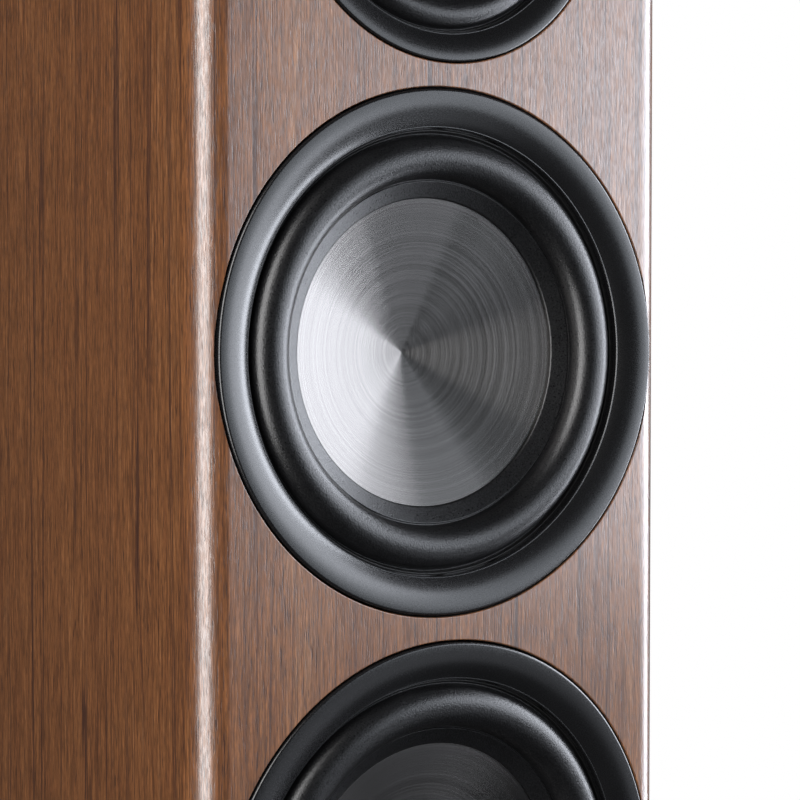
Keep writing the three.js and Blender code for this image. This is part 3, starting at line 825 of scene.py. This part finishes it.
def screw(name, place, finish, radius=3.4):
    """A black pan-head screw with a cross recess, its axis along +Y."""
    dome = curve_through([(0, 1.7), (radius * 0.5, 1.5), (radius * 0.9, 0.7), (radius, 0.05)], 5)
    shank = radius * 0.45
    profile = [*dome, (radius, -0.3), (shank, -0.3), (shank, -6), (0, -6)]
    head = revolve(name, scaled(profile, 1), place, sides=48)
    slots = []
    for width, height in ((0.3, 1.2), (1.2, 0.3)):
        size = (width * radius * MM, height * radius * MM)
        outline = rounded_rectangle(*size, 0.15 * MM, (place.x, place.z), 2)
        slots.append(prism("cutter", outline, place.y + 0.6 * MM, place.y + 4 * MM, "Y"))
    cut(head, slots)
    settle(coat(head, finish), "cabinet", "motor_steel")


def make_terminals():
    plate = prism("terminal_board", plate_outline(), rear_y - PLATE_THICKNESS, rear_y, "Y")
    posts = {colour: middle("post_stud_" + colour) for colour in ("red", "black")}
    places = [(post.x, post.z) for post in posts.values()]
    cut(plate, [round_cutter(place, 3.9 * MM, rear_y - CLEAR, rear_y + CLEAR) for place in places])
    round_edges(plate, 0.5 * MM, 2)
    flatten_normals(plate)
    coat(plate, painted("terminal_black", (0.020, 0.020, 0.021), 0.45))
    settle(plate, "cabinet", "terminal_plastic", "terminal_plate")

    gold = metal("gold_contact", (0.83, 0.58, 0.22), 0.2, grain_size=0.6, depth=0.006)
    caps = {"red": (0.42, 0.012, 0.012), "black": (0.014, 0.014, 0.015)}
    for colour, place in posts.items():
        centre = Vector((place.x, rear_y, place.z))
        stud = [
            (0, -16), (3.4, -16), (3.4, -7.3), (6, -7.3), (6, -3.6), (3.4, -3.6),
            (3.4, 0.3), (8.2, 0.3), (8.5, 0.6), (8.5, 3.0), (8.2, 3.3), (3.4, 3.3),
            (3.4, 21.6), (3.0, 22), (2.5, 22), (2.1, 21.6), (2.1, 4), (0, 4),
        ]
        post = revolve("post_" + colour, scaled(stud, 1), centre, sides=FINE)
        settle(coat(post, gold), "cabinet", "gold_contact", "post_stud_" + colour)
        ring = [(3.9, 3.6), (7.7, 3.6), (8, 3.9), (8, 4.8), (7.7, 5.1), (3.9, 5.1)]
        washer = revolve("washer_" + colour, scaled(ring, 1), centre, sides=FINE)
        settle(coat(washer, gold), "post_washer_" + colour, "gold_contact", "post_washer_" + colour)

        def flute(angle, radius, along):
            if radius > 9 * MM and 7.6 * MM < along < 19.4 * MM:
                return radius - 0.7 * MM * abs(math.sin(angle * 6)) ** 0.6
            return radius

        sleeve = [
            (3.9, 5.4), (8.6, 5.4), (9.2, 5.9), (9.4, 6.6), (9.4, 7.5), (9.4, 7.7),
            (9.4, 19.3), (9.4, 19.5), (9.3, 20.3), (8.9, 21.0), (8.2, 21.4),
            (5.4, 21.4), (5.2, 21.0), (3.9, 21.0),
        ]
        cap = revolve("cap_" + colour, scaled(sleeve, 1), centre, sides=144, wave=flute)
        plastic = painted("cap_" + colour, caps[colour], 0.25, grain_size=1.2, depth=0.01)
        settle(coat(cap, plastic), "post_cap_" + colour, "cap_" + colour, "post_cap_" + colour)


def make_rear_screws():
    steel = metal("screw_black", (0.06, 0.06, 0.065), 0.38, grain_size=0.5, depth=0.01)
    inset = 8 * MM
    across, up = PLATE_WIDTH / 2 - inset, PLATE_HEIGHT / 2 - inset
    plate_z = middle("terminal_plate").z
    for i, (sx, sz) in enumerate(((-1, -1), (1, -1), (-1, 1), (1, 1))):
        place = Vector((sx * across, rear_y + GAP, plate_z + sz * up))
        screw("terminal_screw_%d" % (i + 1), place, steel)
    circle, flange = 50 * MM, 3 * MM
    for name in ("port_upper", "port_lower"):
        for i in range(4):
            angle = math.radians(45 + 90 * i)
            z = middle(name).z + circle * math.sin(angle)
            place = Vector((circle * math.cos(angle), rear_y + flange + GAP, z))
            screw("%s_screw_%d" % (name, i + 1), place, steel, 2.6)


# ---------------------------------------------------------------- pieces inside


def finish_inner_nodes():
    """Every CAD node that stays gets the material of its slot."""
    finishes = {
        "fibreboard": fibreboard("fibreboard"),
        "wadding": woven("wadding", (0.62, 0.60, 0.55), 3.0, 0.9),
        "copper_winding": winding("copper_winding"),
        "spider_cloth": woven("spider_cloth", (0.45, 0.30, 0.09), 0.5),
        "motor_steel": metal("motor_steel", (0.40, 0.41, 0.43), 0.35),
        "ferrite": painted("ferrite", (0.035, 0.035, 0.037), 0.6, 1.0, 0.05),
        "basket_alloy": painted("basket_alloy", (0.012, 0.012, 0.013), 0.5, 0.8, 0.05),
        "motor_cover": painted("motor_cover", (0.02, 0.02, 0.02), 0.5),
        "circuit_board": painted("circuit_board", (0.02, 0.11, 0.05), 0.35, 0.8, 0.02),
        "capacitor_film": painted("capacitor_film", (0.26, 0.03, 0.02), 0.22, 2.0, 0.01),
    }
    slots = {row["node"]: row["material_slot"] for row in frame["record"]["subparts"]}
    for name, node in frame["nodes"].items():
        if not node.hide_render:
            node.data.materials.clear()
            node.data.materials.append(finishes[slots[name]].material)


# ---------------------------------------------------------------- camera, light and floor

TARGET = driver_centre("woofer_upper")
EYE = TARGET + Vector((-0.56505, -0.79972, 0.01302))
VIEW_AZIMUTH = math.radians(-34.03)
VIEW_PITCH = math.radians(-1.96)


def make_camera():
    camera = bpy.data.objects.new("camera", bpy.data.cameras.new("camera"))
    bpy.context.scene.collection.objects.link(camera)
    camera.data.sensor_width = 36
    camera.data.lens = 101.27
    camera.location = EYE
    ahead = Vector((-math.sin(VIEW_AZIMUTH), math.cos(VIEW_AZIMUTH), 0))
    heading = ahead * math.cos(VIEW_PITCH) + Vector((0, 0, math.sin(VIEW_PITCH)))
    camera.rotation_mode = "QUATERNION"
    camera.rotation_quaternion = heading.to_track_quat("-Z", "Y")
    bpy.context.scene.camera = camera


def softbox(name, azimuth, elevation, distance, width, height, radiance, color=(1, 1, 1)):
    """A soft light that faces the upper woofer. Azimuth 0 is in front of it, 90 to its right."""
    light = bpy.data.lights.new(name, "AREA")
    light.shape = "RECTANGLE"
    light.size = width
    light.size_y = height
    light.energy = radiance * 4 * width * height
    light.color = color
    obj = bpy.data.objects.new(name, light)
    bpy.context.scene.collection.objects.link(obj)
    a, e = math.radians(azimuth), math.radians(elevation)
    out = Vector((math.sin(a) * math.cos(e), -math.cos(a) * math.cos(e), math.sin(e)))
    obj.location = TARGET + out * distance
    obj.rotation_mode = "QUATERNION"
    obj.rotation_quaternion = out.to_track_quat("Z", "Y")
    obj.visible_camera = False


def make_lights():
    cool = (0.87, 0.91, 1.0)
    softbox("strip_left", -59, 7, 1.5, 0.92, 2.2, 4.75, (1.0, 0.99, 0.99))
    softbox("veil", 32, 5, 1.3, 0.32, 0.76, 1.4, (0.84, 0.91, 1.0))
    softbox("low_veil", 48, -28, 1.1, 0.62, 0.42, 0.35, cool)
    softbox("far_right", 57.5, 5, 1.3, 0.84, 0.72, 3.9, cool)
    softbox("near_right", 81.5, -1, 1.1, 0.34, 1.1, 7.8, cool)
    softbox("rear_fill", 165, 10, 2.4, 1.6, 1.8, 1.6)
    softbox("rear_top", 180, 70, 2.4, 1.4, 1.4, 1.4)


def make_world():
    """White behind the object, and a dim grey room for everything that it reflects."""
    world = bpy.data.worlds.new("studio")
    bpy.context.scene.world = world
    world.use_nodes = True
    tree = world.node_tree
    tree.nodes.clear()
    path = tree.nodes.new("ShaderNodeLightPath")
    room = tree.nodes.new("ShaderNodeBackground")
    room.inputs["Color"].default_value = (0.9, 0.95, 1.0, 1)
    room.inputs["Strength"].default_value = 0.03
    white = tree.nodes.new("ShaderNodeBackground")
    white.inputs["Color"].default_value = (1, 1, 1, 1)
    white.inputs["Strength"].default_value = 1.0
    mix = tree.nodes.new("ShaderNodeMixShader")
    out = tree.nodes.new("ShaderNodeOutputWorld")
    tree.links.new(path.outputs["Is Camera Ray"], mix.inputs[0])
    tree.links.new(room.outputs[0], mix.inputs[1])
    tree.links.new(white.outputs[0], mix.inputs[2])
    tree.links.new(mix.outputs[0], out.inputs["Surface"])


def make_floor():
    """A pale round floor that fades into the white behind it."""
    radius = 2.1
    floor = prism("floor", cylinder_outline((0, 0), radius, 128), -0.02, 0)
    finish = Finish("floor", Roughness=0.6, Base_Color=(0.8, 0.8, 0.8, 1))
    grain = finish.noise(finish.place(), 6, detail=3.0)
    tones = [(0.3, (0.76, 0.76, 0.75)), (0.7, (0.82, 0.82, 0.81))]
    finish.feed("Base Color", finish.ramp(grain, tones))
    distance = finish.length(finish.place((1, 1, 0)))
    edge = finish.remap(distance, 0.5, radius * 0.95, 0.45, 1.0)
    glow = finish.add("Emission", {"Color": (1, 1, 1, 1), "Strength": 1.0})
    blend = finish.add("MixShader", {0: edge})
    finish.tree.links.new(finish.shader.outputs[0], blend.inputs[1])
    finish.tree.links.new(glow.outputs[0], blend.inputs[2])
    finish.tree.links.new(blend.outputs[0], finish.tree.nodes["Material Output"].inputs["Surface"])
    coat(floor, finish)
    floor.visible_glossy = False
    floor.visible_diffuse = False


# ---------------------------------------------------------------- the scene

make_camera()
make_world()
make_lights()
make_floor()

make_cabinet()
satin_black = painted("driver_trim", (0.006, 0.006, 0.0065), 0.27, grain_size=0.45, depth=0.013)
foam = painted("gasket_foam", (0.005, 0.005, 0.005), 0.5, grain_size=0.4, depth=0.04)
butyl = rubber("surround_rubber")
for driver in CONE_DRIVERS:
    make_cone_driver(driver, satin_black, foam, butyl)
make_tweeter(satin_black)
make_plinth()
make_feet()
make_ports()
make_terminals()
make_rear_screws()
finish_inner_nodes()

bpy.context.scene.view_settings.view_transform = "Standard"
